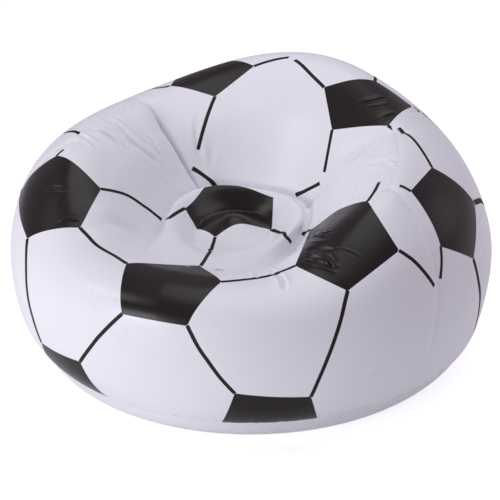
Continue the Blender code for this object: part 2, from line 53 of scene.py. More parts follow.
camera_data.lens = SENSOR * PIXELS_PER_METRE * DISTANCE / IMAGE_SIDE
camera_data.sensor_width = SENSOR
camera = bpy.data.objects.new("camera", camera_data)
bpy.context.scene.collection.objects.link(camera)
camera.location = (back * DISTANCE
                   - right * ((ORIGIN_PIXEL[0] - IMAGE_SIDE / 2) / PIXELS_PER_METRE)
                   + above * ((ORIGIN_PIXEL[1] - IMAGE_SIDE / 2) / PIXELS_PER_METRE))
camera.rotation_euler = back.to_track_quat("Z", "Y").to_euler()
bpy.context.scene.camera = camera
bpy.context.scene.view_settings.view_transform = "Standard"


class Nodes:
    """A material's node tree, written one line per node."""

    def __init__(self, owner):
        owner.use_nodes = True
        self.tree = owner.node_tree
        self.tree.nodes.clear()

    def add(self, kind, inputs=None, **settings):
        node = self.tree.nodes.new(kind)
        for key, value in settings.items():
            setattr(node, key, value)
        for key, value in (inputs or {}).items():
            if isinstance(value, bpy.types.NodeSocket):
                self.tree.links.new(value, node.inputs[key])
            else:
                node.inputs[key].default_value = value
        return node

    def math(self, operation, *values, clamp=False):
        return self.add("ShaderNodeMath", dict(enumerate(values)), operation=operation,
                        use_clamp=clamp).outputs[0]

    def mix(self, factor, first, second):
        node = self.add("ShaderNodeMix", data_type="RGBA")
        for socket, value in ((node.inputs[0], factor), (node.inputs[6], first),
                              (node.inputs[7], second)):
            if isinstance(value, bpy.types.NodeSocket):
                self.tree.links.new(value, socket)
            else:
                socket.default_value = value
        return node.outputs[2]


# A white studio floor, lit by round softboxes: one high on the left, one low in front, one above
# and a faint one behind on the right. The floor keeps the chair's shadow, shows white to the
# camera and glows a little on the chair, as the photographer's paper did. The room is a dim violet.
KEY, FRONT, TOP, REAR = 20.0, 44.0, 32.0, 4.0
FLOOR_GLOW, FLOOR_WHITE = 0.10, 0.54
floor_mesh = bmesh.new()
bmesh.ops.create_grid(floor_mesh, x_segments=1, y_segments=1, size=30)
floor_data = bpy.data.meshes.new("studio_floor")
floor_mesh.to_mesh(floor_data)
floor_mesh.free()
floor = bpy.data.objects.new("studio_floor", floor_data)
bpy.context.scene.collection.objects.link(floor)
paper = bpy.data.materials.new("studio_paper")
n = Nodes(paper)
seen_by_camera = n.add("ShaderNodeLightPath").outputs["Is Camera Ray"]
matt = n.add("ShaderNodeBsdfDiffuse", {"Color": (0.90, 0.90, 0.90, 1)})
strength = n.math("MULTIPLY_ADD", seen_by_camera, FLOOR_WHITE, FLOOR_GLOW)
glow = n.add("ShaderNodeEmission", {"Color": (1, 1, 1, 1), "Strength": strength})
both = n.add("ShaderNodeAddShader", {0: matt.outputs[0], 1: glow.outputs[0]})
n.add("ShaderNodeOutputMaterial", {"Surface": both.outputs[0]})
floor_data.materials.append(paper)

world = bpy.data.worlds.new("studio")
bpy.context.scene.world = world
n = Nodes(world)
seen_by_camera = n.add("ShaderNodeLightPath").outputs["Is Camera Ray"]
shade = n.mix(seen_by_camera, (0.36, 0.31, 0.37, 1), (1, 1, 1, 1))
n.add("ShaderNodeOutputWorld", {"Surface": n.add("ShaderNodeBackground", {"Color": shade}).outputs[0]})

for name, place, size, power in (("key_softbox", (-2.5, -1.4, 3.0), 1.5, KEY),
                                 ("front_softbox", (-1.5, -3.1, 0.45), 1.5, FRONT),
                                 ("top_softbox", (0.2, 0.5, 3.2), 2.8, TOP),
                                 ("rear_softbox", (2.6, 2.0, 1.6), 1.8, REAR)):
    lamp_data = bpy.data.lights.new(name, "AREA")
    lamp_data.shape, lamp_data.size, lamp_data.energy = "DISK", size, power
    lamp = bpy.data.objects.new(name, lamp_data)
    bpy.context.scene.collection.objects.link(lamp)
    lamp.location = place
    lamp.rotation_euler = (Vector(place) - Vector((0, 0, 0.3))).to_track_quat("Z", "Y").to_euler()


# The blown-up skin. Every panel is cut from one surface: rings from the middle of the base
# (station 0) to the middle of the seat (station 12). The shares give each ring's size at the
# front, at 60 and 120 degrees round, and at the back. They were chosen one by one. The front roll
# dips a little where it meets the arms.
HALF_WIDTH, CONTACT_RADIUS, BASE_SEAM_HEIGHT = 0.570, 0.470, 0.050
FRONT_HEIGHT, ARM_HEIGHT, FLANK_HEIGHT, BACK_HEIGHT, BACK_LEAN = 0.365, 0.470, 0.540, 0.605, 0.020
SEAT_HEIGHT, SEAT_SETBACK, SEAT_RADIUS, SEAT_TILT = 0.318, 0.104, 0.190, math.radians(8)
SEAT_WELD_RADIUS, SEAT_RING_RISE, SEAT_DOME_RISE = 0.087, 0.034, 0.036
FLOOR, CONTACT, SEAM, LOW, EQUATOR, SHOULDER, BROW, CREST, WALL, RIM_SEAM, RING, WELD, DOME = range(13)
RADIUS_SHARES = {
    SEAM: (0.90, 0.91, 0.92, 0.85), EQUATOR: (0.98, 0.99, 0.99, 0.98),
    CREST: (0.70, 0.70, 0.60, 0.65), WALL: (0.38, 0.50, 0.55, 0.60),
    RIM_SEAM: (1.45, 0.95, 0.93, 0.85), RING: (0.55, 0.84, 0.86, 0.76)}
HEIGHT_SHARES = {
    EQUATOR: (0.65, 0.58, 0.52, 0.50), WALL: (0.70, 0.65, 0.65, 0.65),
    RIM_SEAM: (2.20, 0.35, 0.90, 0.60)}
SETBACK_SHARES = {SHOULDER: 0.15, BROW: 0.24, CREST: 0.38, WALL: 0.90, RIM_SEAM: 1.05}
ARC_SHARES = {LOW: 0.45, SHOULDER: 0.45, BROW: 0.75}
LOW_FULLNESS, FULLNESS = 1.0, (1.15, 0.90, 0.85, 0.75)
CORNER_DIP, CORNER, CORNER_WIDTH = 0.040, math.radians(38), math.radians(22)
ARM_SEAM, ARM_SEAM_FOOT = math.radians(76), math.radians(61)
CREASE_TOP, CREASE_FOOT = math.radians(112), math.radians(133)
COSINES = np.linalg.inv([[math.cos(k * math.radians(a)) for k in range(4)] for a in (0, 60, 120, 180)])


def around(values, azimuth):
    terms = COSINES @ np.array(values, dtype=float)
    return sum(terms[k] * np.cos(k * azimuth) for k in range(4))


def seat_plane(y):
    return SEAT_HEIGHT + math.tan(SEAT_TILT) * (y + SEAT_SETBACK)


def rings(azimuth):
    across, ahead, one = np.sin(azimuth), -np.cos(azimuth), 1 + 0 * azimuth
    crest = around((FRONT_HEIGHT, ARM_HEIGHT, FLANK_HEIGHT, BACK_HEIGHT), azimuth)
    crest = crest + BACK_LEAN * across * np.maximum(ahead, 0)
    turn = np.abs((azimuth + math.pi) % (2 * math.pi) - math.pi)
    crest = crest - CORNER_DIP * np.exp(-((turn - CORNER) / CORNER_WIDTH) ** 2)
    seam_radius, wide_radius, crest_radius = (
        HALF_WIDTH * around(RADIUS_SHARES[k], azimuth) for k in (SEAM, EQUATOR, CREST))
    wide_height = crest * around(HEIGHT_SHARES[EQUATOR], azimuth)
    fullness = around(FULLNESS, azimuth)

    def ring(radius, height, share=0.0):
        return np.stack([radius * across, radius * ahead - share * SEAT_SETBACK, height * one], -1)

    def on_arc(k, full, end_radius, end_height):
        turn, power = math.pi / 2 * ARC_SHARES[k], 1 / full
        return ring(end_radius + (wide_radius - end_radius) * math.cos(turn) ** power,
                    wide_height + (end_height - wide_height) * math.sin(turn) ** power,
                    SETBACK_SHARES.get(k, 0.0))

    rows = [ring(0 * one, 0), ring(CONTACT_RADIUS * one, 0), ring(seam_radius, BASE_SEAM_HEIGHT),
            on_arc(LOW, LOW_FULLNESS, seam_radius, BASE_SEAM_HEIGHT), ring(wide_radius, wide_height),
            on_arc(SHOULDER, fullness, crest_radius, crest), on_arc(BROW, fullness, crest_radius, crest),
            ring(crest_radius, crest, SETBACK_SHARES[CREST])]
    rim_radius = SEAT_RADIUS * around(RADIUS_SHARES[RIM_SEAM], azimuth)
    rim = ring(rim_radius, 0, SETBACK_SHARES[RIM_SEAM])
    rim[:, 2] = seat_plane(rim[:, 1]) + SEAT_RING_RISE * around(HEIGHT_SHARES[RIM_SEAM], azimuth)
    rows.append(ring(rim_radius + around(RADIUS_SHARES[WALL], azimuth) * (crest_radius - rim_radius),
                     rim[:, 2] + around(HEIGHT_SHARES[WALL], azimuth) * (crest - rim[:, 2]),
                     SETBACK_SHARES[WALL]))
    rows.append(rim)
    for radius, rise in ((rim_radius * around(RADIUS_SHARES[RING], azimuth), SEAT_RING_RISE),
                         (SEAT_WELD_RADIUS * one, 0.0), (0 * one, SEAT_DOME_RISE)):
        row = ring(radius, 0, 1.0)
        row[:, 2] = seat_plane(row[:, 1]) + rise
        rows.append(row)
    return np.array(rows)


def smooth_skin(azimuth, station):
    points = rings(azimuth)
    step = np.clip(np.floor(station + 1e-9).astype(int), 0, DOME - 1)
    part = (station - step)[:, None]
    pick = np.arange(len(azimuth))
    p1, p2 = points[step, pick], points[step + 1, pick]
    p0 = np.where((step == 0)[:, None], 2 * p1 - p2, points[np.maximum(step - 1, 0), pick])
    far_side = points[WELD, pick] * np.array([-1.0, -1.0, 1.0])
    far_side[:, 1] -= 2 * SEAT_SETBACK
    p3 = np.where((step + 2 > DOME)[:, None], far_side, points[np.minimum(step + 2, DOME), pick])
    h0, h1, h2 = (np.sqrt(np.linalg.norm(b - a, axis=-1, keepdims=True) + 1e-9)
                  for a, b in ((p0, p1), (p1, p2), (p2, p3)))
    m1 = ((p1 - p0) / h0 * h1 + (p2 - p1) / h1 * h0) / (h0 + h1) * h1
    m2 = ((p2 - p1) / h1 * h2 + (p3 - p2) / h2 * h1) / (h1 + h2) * h1
    flat = (step == FLOOR)[:, None]
    m1, m2 = np.where(flat, p2 - p1, m1), np.where(flat, p2 - p1, m2)
    a, b = part * part, part * part * part
    return (2 * b - 3 * a + 1) * p1 + (b - 2 * a + part) * m1 + (3 * a - 2 * b) * p2 + (b - a) * m2


def arm_seam(station):
    return ARM_SEAM + (ARM_SEAM_FOOT - ARM_SEAM) * np.clip((CREST - station) / (CREST - SEAM), 0, 1)


def crease(station):
    return CREASE_TOP + (CREASE_FOOT - CREASE_TOP) * np.clip((station - CREST) / (RIM_SEAM - CREST), 0, 1)


def spread(column, station):
    """Azimuth of a column at a station: columns run along the seams."""
    turn, side = np.abs(column), np.sign(column)
    below = np.interp(turn, [0, ARM_SEAM, math.pi], [0, 1, 2])
    over = np.interp(turn, [0, CREASE_TOP, math.pi], [0, 1, 2])

    def place(share, seam):
        return np.where(share <= 1, share * seam, seam + (share - 1) * (math.pi - seam))
    return side * np.where(station <= CREST, place(below, arm_seam(station)), place(over, crease(station)))


def fade(value, start, end):
    part = np.clip((value - start) / (end - start), 0, 1)
    return part * part * (3 - 2 * part)


def dent(distance, depth, width):
    return depth * np.exp(-distance / width)


def gathers(along, away, seed, spacing, reach, depth):
    """How deep the film is drawn in by short puckers that start at a weld and die out from it."""
    scatter = np.random.default_rng(seed)
    count = int((along.max() - along.min()) / spacing) + 1
    middle = along.min() + (np.arange(count) + scatter.uniform(-0.45, 0.45, count)) * spacing
    long = reach * scatter.uniform(0.35, 1.0, count) ** 1.5
    deep = depth * scatter.uniform(0.2, 1.0, count)
    wide = spacing * scatter.uniform(0.16, 0.34, count)
    slant = scatter.uniform(-0.35, 0.35, count)
    pull = np.zeros(len(along))
    near = np.flatnonzero(away < reach)
    for k in range(count):
        width = wide[k] * (1 + 0.6 * away[near] / reach)
        beside_it = (along[near] - middle[k] - slant[k] * away[near]) / width
        pull[near] += deep[k] * np.exp(-beside_it ** 2) * (1 - fade(away[near], 0.15 * long[k], long[k]))
    return pull


# The welds draw the skin in: each dent is its depth and width in metres. The creases beside the
# backrest have a broad dent and a sharp one, deeper in the left one, and start shallow at the crest.
BASE_DENT, WELD_DENT, CREST_DENT = (0.004, 0.012), (0.008, 0.006), (0.002, 0.010)
RIM_DENT, ARM_DENT, CREASE_DENT = (0.010, 0.007), (0.003, 0.010), (0.022, 0.034)
SHARP_DEPTHS, SHARP_WIDTH = (0.016, 0.008), 0.007
CREASE_START_SHARES, CREASE_END_SHARE = (0.15, 0.45), 0.70
# Film welded flat and blown round also gathers beside each weld. The list gives each weld's seed,
# and the puckers' spacing, reach and depth in metres.
GATHERS = {"base": (11, 0.017, 0.030, 0.0012), "weld": (12, 0.011, 0.030, 0.0003),
           "crest": (13, 0.016, 0.040, 0.0010), "rim": (14, 0.015, 0.030, 0.0012),
           "arm": (15, 0.012, 0.018, 0.0010), "fold": (16, 0.019, 0.060, 0.0012)}
# Metres of weld to a radian round the chair or, down the arms and the creases, to a station.
RUN = {"base": 0.52, "crest": 0.35, "rim": 0.20, "arm": 0.10, "fold": 0.12}


def skin(azimuth, station, gathered=False):
    """Place, outward normal, distance to the nearest weld and to the nearest that cuts the print."""
    azimuth, station = np.atleast_1d(azimuth).astype(float), np.atleast_1d(station).astype(float)
    d = 1e-3
    point = smooth_skin(azimuth, station)
    up = (smooth_skin(azimuth, np.minimum(station + d, DOME))
          - smooth_skin(azimuth, np.maximum(station - d, 0)))
    side = smooth_skin(azimuth + d, station) - smooth_skin(azimuth - d, station)
    size_up, size_side = np.linalg.norm(up, axis=-1), np.maximum(np.linalg.norm(side, axis=-1), 1e-9)
    normal = np.cross(side / size_side[:, None], up / size_up[:, None])
    normal /= np.maximum(np.linalg.norm(normal, axis=-1), 1e-9)[:, None]
    up_speed, side_speed = size_up / (2 * d), size_side / (2 * d)
    signed_turn = (azimuth + math.pi) % (2 * math.pi) - math.pi
    turn = np.abs(signed_turn)

    base, weld = np.abs(station - SEAM) * up_speed, np.abs(station - WELD) * up_speed
    crest, rim = np.abs(station - CREST) * up_speed, np.abs(station - RIM_SEAM) * up_speed
    down_arm = np.abs(turn - arm_seam(station)) * side_speed
    fold = np.abs(turn - crease(station)) * side_speed
    behind_arm = fade(turn, ARM_SEAM - math.radians(8), ARM_SEAM)
    at_rim = fade(turn, math.radians(12), math.radians(62))
    on_back = fade(turn, CREASE_TOP - 0.2, CREASE_TOP + 0.1)
    outside = fade(station, CONTACT, SEAM) * (1 - fade(station, CREST, CREST + 0.4))
    along = np.clip((station - CREST) / (RIM_SEAM - CREST), 0, 1)
    inside = fade(station, BROW, CREST) * (1 - fade(station, RIM_SEAM, RING))
    at_crest = np.where(signed_turn < 0, *CREASE_START_SHARES) * (1 - fade(along, 0, 0.5))
    lower = np.interp(along, (0.5, 1), (1.0, CREASE_END_SHARE)) * fade(along, 0, 0.5)
    inside = inside * (at_crest + lower)
    pull = dent(base, *BASE_DENT) + dent(weld, *WELD_DENT)
    pull += dent(crest, *CREST_DENT) * behind_arm * (1 - 0.6 * on_back) + dent(rim, *RIM_DENT) * at_rim
    pull += outside * dent(down_arm, *ARM_DENT)
    sharp = np.where(signed_turn < 0, *SHARP_DEPTHS)
    pull += inside * (dent(fold, *CREASE_DENT) + dent(fold, sharp, SHARP_WIDTH))
    if gathered:
        for name, run, away, share in (
                ("base", signed_turn * RUN["base"], base, 1.0),
                ("weld", signed_turn * SEAT_WELD_RADIUS, weld, 1.0),
                ("crest", signed_turn * RUN["crest"], crest, behind_arm - on_back),
                ("rim", signed_turn * RUN["rim"], rim, 1.0),
                ("arm", station * RUN["arm"] + np.sign(signed_turn), down_arm, outside),
                ("fold", station * RUN["fold"] + np.sign(signed_turn), fold, inside)):
            seed, spacing, reach, depth = GATHERS[name]
            pull += share * gathers(run, away, seed, spacing, reach, depth)
    cut = np.minimum(base, np.where(turn > ARM_SEAM - 0.02, crest, 1))
    cut = np.minimum(cut, np.where((station < CREST) & (station > SEAM), down_arm, 1))
    nearest = np.minimum(np.minimum(cut, weld), rim)
    nearest = np.minimum(nearest, np.where((station > CREST) & (station < RIM_SEAM), fold, 1))
    return point - normal * pull[:, None], normal, nearest, cut


def smooth_path(path, spacing=0.004):
    """A smooth line on the skin through (azimuth in degrees, station) points."""
    path = np.array(path, dtype=float)
    path[:, 0] = np.unwrap(path[:, 0], period=360)
    ends = np.concatenate([2 * path[:1] - path[1:2], path, 2 * path[-1:] - path[-2:-1]])
    rough = skin(np.radians(path[:, 0]), path[:, 1])[0]
    out = []
    for k in range(len(path) - 1):
        count = max(2, int(np.linalg.norm(rough[k + 1] - rough[k]) / spacing))
        t = np.linspace(0, 1, count, endpoint=False)[:, None]
        a, b, c, e = ends[k:k + 4]
        out.append(0.5 * (2 * b + (c - a) * t + (2 * a - 5 * b + 4 * c - e) * t ** 2
                          + (3 * b - a - 3 * c + e) * t ** 3))
    out = np.concatenate(out + [path[-1:]])
    return skin(np.radians(out[:, 0]), out[:, 1])[:2]


def beside(points, path, reach):
    """Signed distance across a path, distance inside its ends, and which points are near it."""
    line, normal = smooth_path(path)
    ahead = np.gradient(line, axis=0)
    step = np.linalg.norm(np.diff(line, axis=0), axis=1)
    run = np.concatenate([[0], np.cumsum(step)])
    ahead /= np.linalg.norm(ahead, axis=1)[:, None]
    across = np.cross(normal, ahead)
    low, high = line.min(0) - reach, line.max(0) + reach
    near = np.flatnonzero(((points > low) & (points < high)).all(1))
    if not len(near):
        return near, near, near, run[-1]
    offset = points[near][:, None, :] - line[None]
    best = np.argmin((offset ** 2).sum(-1), axis=1)
    offset = offset[np.arange(len(near)), best]
    sideways = (offset * across[best]).sum(1)
    along = run[best] + (offset * ahead[best]).sum(1)
    keep = np.linalg.norm(offset, axis=1) < reach
    return near[keep], sideways[keep], along[keep], run[-1]


# Places on the print and folds that the photo shows were read off it, in pixels of the
# photo at three times its size. Each is landed on the skin along the camera's line of sight.
PHOTO_ZOOM = 3
LENS_PIXELS = PIXELS_PER_METRE * DISTANCE
eye, toward, rightward, upward = (np.array(v) for v in (camera.location, back, right, above))


def in_view(points):
    offset = points - eye
    depth = -(offset @ toward)
    return np.stack([IMAGE_SIDE / 2 + LENS_PIXELS * (offset @ rightward) / depth,
                     IMAGE_SIDE / 2 - LENS_PIXELS * (offset @ upward) / depth], -1), depth


cover = [c.ravel() for c in np.meshgrid(np.radians(np.arange(-180, 180, 2)), np.arange(1.5, DOME, 0.05))]
cover_point, cover_normal = skin(*cover)[:2]
cover_pixel, cover_depth = in_view(cover_point)
cover_faces_us = (cover_normal * (eye - cover_point)).sum(1) > 0


def seen(*pixels):
    """Where these places of the photo lie on the skin, as (azimuth in degrees, station)."""
    target = np.array(pixels, dtype=float) / PHOTO_ZOOM
    start = []
    for pixel in target:
        away = np.where(cover_faces_us, np.linalg.norm(cover_pixel - pixel, axis=1), np.inf)
        close = away < max(5, away.min() + 1)
        front = close & (cover_depth < cover_depth[close].min() + 0.08)
        start.append(np.argmin(np.where(front, away, np.inf)))
    azimuth, station = cover[0][start], cover[1][start]
    h, count = 1e-3, len(target)
    for _ in range(10):
        pixel = in_view(skin(np.concatenate([azimuth, azimuth + h, azimuth]),
                             np.concatenate([station, station, station + h]))[0])[0]
        here, turned, raised = pixel[:count], pixel[count:2 * count], pixel[2 * count:]
        for k in range(count):
            slope = np.stack([(turned[k] - here[k]) / h, (raised[k] - here[k]) / h], -1)
            move = np.linalg.lstsq(slope, target[k] - here[k], rcond=1e-3)[0]
            azimuth[k] += np.clip(move[0], -0.05, 0.05)
            station[k] = np.clip(station[k] + np.clip(move[1], -0.2, 0.2), CONTACT + 0.02, DOME - 0.02)
    return list(zip(np.degrees(azimuth), station))


def hidden(*places):
    """Places that the photo doesn't show, chosen on the skin."""
    return list(places)


# The print: the common pattern of black pentagons joined by lines. The lines stop a few
# millimetres from the welds round the outside and run on over the others.
PENTAGONS = {
    "seat": seen((555, 625), (645, 712), (815, 692), (820, 592), (645, 557)),
    "front": seen((380, 790), (600, 797), (665, 845), (562, 978), (366, 942)),
    "right_arm": seen((1103, 603), (930, 690), (885, 797), (1043, 873), (1198, 752)),
    "left_arm": seen((170, 467), (303, 567), (240, 683), (82, 717), (55, 585)),
    "right_flank": seen((1296, 502), (1232, 573), (1322, 740), (1420, 777), (1423, 607)),
    "right_back": seen((972, 262), (996, 390), (1165, 378), (1239, 322), (1125, 243)),
    "left_back": seen((763, 198), (645, 290), (513, 258)) + hidden((-136, 5.95), (-150.5, 6.45)),
    "low_right": seen((704, 1180), (933, 1190)) + hidden((39, 1.6), (28, 1.0), (13.6, 1.6)),
    "low_left": seen((124, 1027), (240, 1085)) + hidden((-14, 1.6), (-25, 1.0), (-37.5, 1.6)),
    "left_flank": hidden((-108, 5.45), (-92.5, 5.4), (-88.5, 4.55), (-99, 3.95), (-112, 4.45)),
    "rear": hidden((172.2, 4.85), (187.8, 4.85), (192.2, 4.25), (180, 3.85), (167.8, 4.25)),
    "rear_right": hidden((128, 4.3), (116.5, 3.85), (121, 2.95), (135, 2.95), (139.5, 3.85)),
    "rear_left": hidden((-131, 4.3), (-142, 3.85), (-138, 2.95), (-125, 2.95), (-120.5, 3.85)),
}
LINES = (
    seen((555, 625), (538, 634), (520, 645), (506, 654), (498, 659)),
    seen((303, 567), (340, 573), (390, 590), (430, 617), (454, 634), (484, 658)),
    seen((645, 712), (642, 722), (637, 738), (630, 752), (617, 775), (603, 797)),
    seen((815, 692), (829, 694), (843, 698), (855, 706), (865, 716), (873, 728)),
    seen((930, 690), (918, 697), (909, 706)),
    seen((1103, 603), (1137, 547)),
    seen((645, 557), (578, 505)),
    seen((595, 447), (605, 405), (620, 355), (645, 290)),
    seen((888, 585), (908, 576), (922, 569), (940, 560), (958, 550)),
    seen((973, 515), (985, 450), (996, 390)),
    seen((763, 198), (820, 180), (875, 171)),
    seen((885, 180), (925, 215), (950, 240), (972, 262)),
    seen((513, 258), (480, 263), (450, 268)) + hidden((-115, 6.08), (-108, 5.45)),
    seen((1165, 378), (1182, 389)),
    seen((1197, 384), (1222, 403), (1265, 450), (1296, 502)),
    seen((1200, 557), (1232, 573)),
    seen((1198, 752), (1303, 858)),
    seen((1322, 740), (1325, 780), (1321, 835)),
    seen((1043, 873), (1025, 950), (1000, 1030), (960, 1130), (933, 1190)),
    seen((562, 978), (600, 1050), (650, 1120), (704, 1180)),
    seen((366, 942), (320, 985), (280, 1030), (240, 1085)),
    seen((380, 790), (340, 765), (290, 735), (265, 710), (240, 683)),
    seen((665, 845), (740, 838), (825, 822), (850, 812), (885, 797)),
    seen((170, 467), (190, 449)),
    seen((237, 400), (192, 400)),
    hidden((-99, 3.95), (-100, 3), (-100, 2)),
    hidden((-112, 4.45), (-116, 4.1), (-120.5, 3.85)),
    seen((1239, 322)) + hidden((129, 5.2), (128, 4.3)),
    hidden((-136, 5.95), (-133.5, 5.2), (-131, 4.3)),
    seen((1125, 243)) + hidden((158, 5.7), (172.2, 4.85)),
    hidden((-150.5, 6.45), (-161, 5.7), (-172.2, 4.85)),
    hidden((139.5, 3.85), (154, 4), (167.8, 4.25)),
    hidden((-142, 3.85), (-155, 4), (-167.8, 4.25)),
    hidden((180, 3.85), (180, 3), (180, 2)),
    hidden((121, 2.95), (119, 2)), hidden((135, 2.95), (137, 2)),
    hidden((-138, 2.95), (-140, 2)), hidden((-125, 2.95), (-123, 2)),
)
# These curve away at the ball's edge, where the real film gathers, and look as wide as the others.
EDGE_LINES = (
    seen((1420, 777), (1435, 840), (1440, 900)) + hidden((89.5, 3.1), (91, 2.6), (92, 2.0)),
    seen((1423, 607), (1448, 607)) + hidden((116.5, 3.85)),
    seen((82, 717), (78, 800), (85, 900), (100, 960), (124, 1027)),
    seen((55, 585)) + hidden((-76, 4.6), (-88.5, 4.55)),
)
EDGE_WIDENING = 1.5
LINE_MARGIN, BASE_MARGIN = 0.005, 0.004
FAR = 0.02


def print_on(mesh, points, cut, seam_distance, patches):
    """Stores the print as attributes: distance inside a pentagon, and place beside a line."""
    inside = np.full(len(points), -FAR)
    for name in patches:
        corners, normal = skin(*np.array([(math.radians(a), s) for a, s in PENTAGONS[name]]).T)[:2]
        if name == "seat":
            normal = np.tile([0.0, 0.0, 1.0], (5, 1))
        centre = corners.mean(0)
        reach = 1.35 * np.linalg.norm(corners - centre, axis=1).max()
        here = np.full(len(points), FAR)
        for k in range(5):
            a, b = corners[k], corners[(k + 1) % 5]
            upright = normal[k] + normal[(k + 1) % 5]
            if name == "right_arm" and k > 0:
                upright = eye - (a + b) / 2
            inward = np.cross(upright, b - a)
            inward /= np.linalg.norm(inward)
            inward *= np.sign(inward @ (centre - a))
            here = np.minimum(here, (points - a) @ inward)
        here = np.where(np.linalg.norm(points - centre, axis=1) < reach, here, -FAR)
        if name.startswith("low"):
            here = np.minimum(here, cut - BASE_MARGIN)
        inside = np.maximum(inside, here)
    line = np.zeros((len(points), 3))
    line[:, 0] = FAR
    for k, path in enumerate(LINES + EDGE_LINES):
        near, sideways, along, length = beside(points, path, FAR)
        if not len(near):
            continue
        sideways = sideways / (1 if k < len(LINES) else EDGE_WIDENING)
        nearer = np.abs(sideways) < np.abs(line[near, 0])
        near, sideways, along = near[nearer], sideways[nearer], along[nearer]
        ends = np.minimum(along, length - along) + 0.001
        line[near, 0] = sideways
        line[near, 1] = np.minimum(ends, cut[near] - LINE_MARGIN)
        line[near, 2] = 1 - np.abs(sideways) / FAR
    mesh.attributes.new("patch", "FLOAT", "POINT").data.foreach_set("value", inside)
    mesh.attributes.new("line", "FLOAT_VECTOR", "POINT").data.foreach_set("vector", line.ravel())
    mesh.attributes.new("seam", "FLOAT", "POINT").data.foreach_set("value", np.minimum(seam_distance, 0.1))


# The long folds, where the arms and the back bend. Each is a path, a half width and a depth: a
# depth below zero is a ridge.
LONG_FOLDS = (
    (seen((325, 362), (400, 430), (473, 493)), 0.006, 0.0050),
    (seen((345, 350), (420, 415), (488, 478)), 0.005, 0.0025),
    (seen((330, 383), (373, 417)), 0.005, 0.0035),
    (seen((278, 388), (320, 405), (358, 440)), 0.005, 0.0045),
    (seen((292, 380), (340, 400), (375, 428)), 0.004, 0.0025),
    (seen((232, 402), (262, 418), (287, 438)), 0.005, 0.0035),
    (seen((443, 407), (462, 437), (478, 467)), 0.004, 0.0035),
    (seen((588, 350), (596, 448), (619, 520)), 0.007, 0.0030),
    (seen((634, 440), (632, 500)), 0.007, 0.0020),
    (seen((240, 666), (375, 684), (441, 723)), 0.018, 0.0050),
    (seen((834, 825), (855, 864)), 0.005, 0.0060),
    (seen((738, 815), (745, 832)), 0.004, 0.0030),
    (seen((765, 812), (772, 830)), 0.004, 0.0035),
    (seen((805, 806), (818, 822)), 0.004, 0.0035),
    (seen((940, 700), (966, 695), (990, 692)), 0.003, -0.0025),
    (seen((938, 711), (966, 708), (990, 702)), 0.003, -0.0035),
    (seen((922, 745), (960, 740), (986, 741), (1009, 744)), 0.003, -0.0045),
    (seen((922, 754), (960, 750), (986, 752)), 0.003, 0.0035),
    (seen((1012, 742), (1046, 750), (1084, 769)), 0.003, -0.0004),
    (seen((918, 769), (956, 767), (973, 771), (990, 784), (1003, 797)), 0.0035, -0.0060),
    (seen((913, 779), (951, 785), (981, 794), (1007, 806)), 0.004, 0.0050),
    (seen((925, 727), (955, 724), (980, 722)), 0.003, -0.0012),
    (seen((1056, 504), (1120, 490), (1185, 480)), 0.006, 0.0025),
    (seen((1080, 489), (1179, 507)), 0.006, 0.0025),
    (seen((1076, 309), (1120, 298), (1165, 293)), 0.003, -0.0030),
    (seen((1104, 324), (1140, 316), (1176, 310)), 0.003, -0.0025),
    (seen((1142, 356), (1187, 340)), 0.003, -0.0035),
    (seen((1222, 322), (1262, 318)), 0.003, 0.0020),
    (seen((1235, 338), (1280, 345)), 0.003, 0.0025),
    (seen((1228, 350), (1268, 362)), 0.003, 0.0020),
    (seen((135, 569), (165, 567), (195, 572)), 0.003, -0.0020),
    (seen((180, 660), (205, 657), (240, 660)), 0.004, -0.0025),
)


# The valve's place comes from its flange in the frame. Its neck ends level with the film, which is
# welded flat onto the flange round it and has a round hole for it.
VALVE_GAP, VALVE_WELD, VALVE_FLAT, VALVE_FINE, VALVE_EASE = 0.0003, 0.019, 0.023, 0.025, 0.040
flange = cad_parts["valve_flange"]
flange_points = np.unique(np.round([flange.matrix_world @ v.co for v in flange.data.vertices], 6), axis=0)
valve_middle = flange_points.mean(0)
valve_axis = np.linalg.svd(flange_points - valve_middle)[2][2]
valve_axis *= np.sign(valve_axis @ valve_middle)
outward = (flange_points - valve_middle) @ valve_axis
valve_middle = valve_middle + valve_axis * outward.max()
neck = flange_points[outward > outward.max() - 1e-5]
VALVE_HOLE = np.linalg.norm(neck - valve_middle, axis=1).max() + VALVE_GAP


def from_valve(points):
    return np.linalg.norm(points - valve_middle, axis=1)


def pressed(points):
    """Lays the film flat on the valve's flange, and draws the hole's edge into a circle."""
    offset = points - valve_middle
    level = offset @ valve_axis
    out = offset - level[:, None] * valve_axis
    radius = np.linalg.norm(out, axis=1)
    flat = level * fade(radius, VALVE_FLAT, VALVE_EASE)
    wider = np.maximum(radius, VALVE_HOLE) / np.maximum(radius, 1e-9)
    moved = valve_middle + out * wider[:, None] + flat[:, None] * valve_axis
    return np.where((from_valve(points) < VALVE_EASE)[:, None], moved, points)


# A panel's grid is halved twice round the valve and beside the folds that are too narrow for it:
# narrower than this many pitches, and as far out as these many half widths.
PITCH = 0.0054
FOLD_PITCHES, FOLD_REACHES = 1.7, (2.0, 1.5)


def folded(points, normal, folds):
    """Pushes points along the normal by the depth of every fold near them."""
    shift = np.zeros(len(points))
    for path, width, depth in folds:
        near, sideways, along, length = beside(points, path, 4 * width)
        if not len(near):
            continue
        part = np.clip(along / length, 0, 1)
        past_end = np.minimum(along, length - along).clip(None, 0) / width
        strength = np.sin(math.pi * (0.08 + 0.84 * part)) ** 0.8 * np.exp(-past_end ** 2)
        lip = np.exp(-((np.abs(sideways) - 2 * width) / width) ** 2)
        groove = np.exp(-(sideways / width) ** 2) - 0.5 * lip
        shift[near] -= depth * strength * groove
    return points + normal * shift[:, None]


